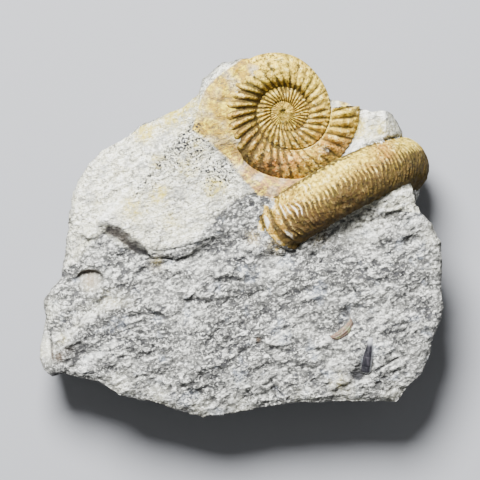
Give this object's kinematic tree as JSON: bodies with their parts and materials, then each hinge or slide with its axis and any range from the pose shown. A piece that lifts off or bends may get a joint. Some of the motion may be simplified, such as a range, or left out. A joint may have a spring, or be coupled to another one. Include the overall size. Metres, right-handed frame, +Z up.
{
  "type": "ammonite fossil block",
  "caption": "Block of pale limestone matrix with ribbed ammonites prepared on its upper face, one showing its coil and one standing on edge, for display or study.",
  "frame": {"origin": "middle of the block's flat underside, on the surface that it lies on", "axes": "+X to the right across the fossil face, +Y to the face's top edge where the ammonites are, +Z up out of the fossil face"},
  "size_m": [0.1416, 0.1268, 0.0589],
  "materials": {
    "limestone": "rough broken limestone, pale grey with small dark specks",
    "golden_fossil": "satin golden tan fossil, dark olive brown in its grooves",
    "dark_calcite": "satin blue-black calcite",
    "brown_shell": "satin brown shell"
  },
  "bodies": {
    "root": {"matrix": "limestone", "ammonite_side": "golden_fossil", "ammonite_edge": "golden_fossil", "belemnite": "dark_calcite", "shell_fragment": "brown_shell"}
  },
  "joints": []
}
